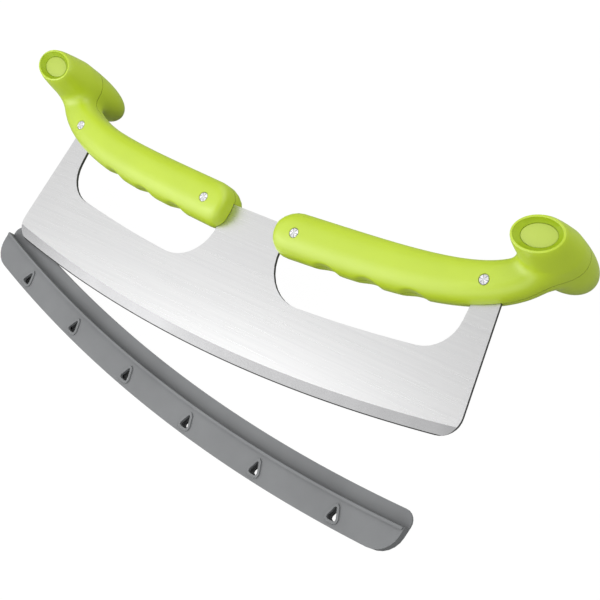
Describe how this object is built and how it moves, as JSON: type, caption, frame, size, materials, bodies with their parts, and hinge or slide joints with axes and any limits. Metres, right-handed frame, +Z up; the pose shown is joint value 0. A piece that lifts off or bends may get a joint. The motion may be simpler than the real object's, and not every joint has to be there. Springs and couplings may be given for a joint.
{
  "type": "pizza rocker knife",
  "caption": "Two-handed rocker knife for pizza with a long curved blade, twin riveted grips with upright horns, and a clip-on edge sheath lying beside it.",
  "frame": {"origin": "centre of the bounding box's underside: the level surface that the knife and its sheath lie on", "axes": "+X along the blade to its right end, +Y from the sheath towards the handles, +Z up off the surface"},
  "size_m": [0.4076, 0.1906, 0.0721],
  "materials": {
    "steel": "brushed along the blade",
    "lime": "satin, soft-touch",
    "lime_plug": "satin",
    "rivet_steel": "polished",
    "grey": "fine matt"
  },
  "bodies": {
    "knife": {"blade": "steel", "handle_left_front": "lime", "handle_left_back": "lime", "handle_right_front": "lime", "handle_right_back": "lime", "horn_plug_left": "lime_plug", "horn_plug_right": "lime_plug", "rivet_inner_left_front": "rivet_steel", "rivet_inner_left_back": "rivet_steel", "rivet_outer_left_front": "rivet_steel", "rivet_outer_left_back": "rivet_steel", "rivet_inner_right_front": "rivet_steel", "rivet_inner_right_back": "rivet_steel", "rivet_outer_right_front": "rivet_steel", "rivet_outer_right_back": "rivet_steel"},
    "sheath": {"edge_sheath": "grey"}
  },
  "joints": [
    {"name": "sheath_turn", "type": "hinge", "parent": "knife", "child": "sheath", "pos_m": [-0.31523, -0.01225, 0.01983], "axis": [0, -0.2006, 0.9797], "range_deg": [0, 7.75]}
  ]
}
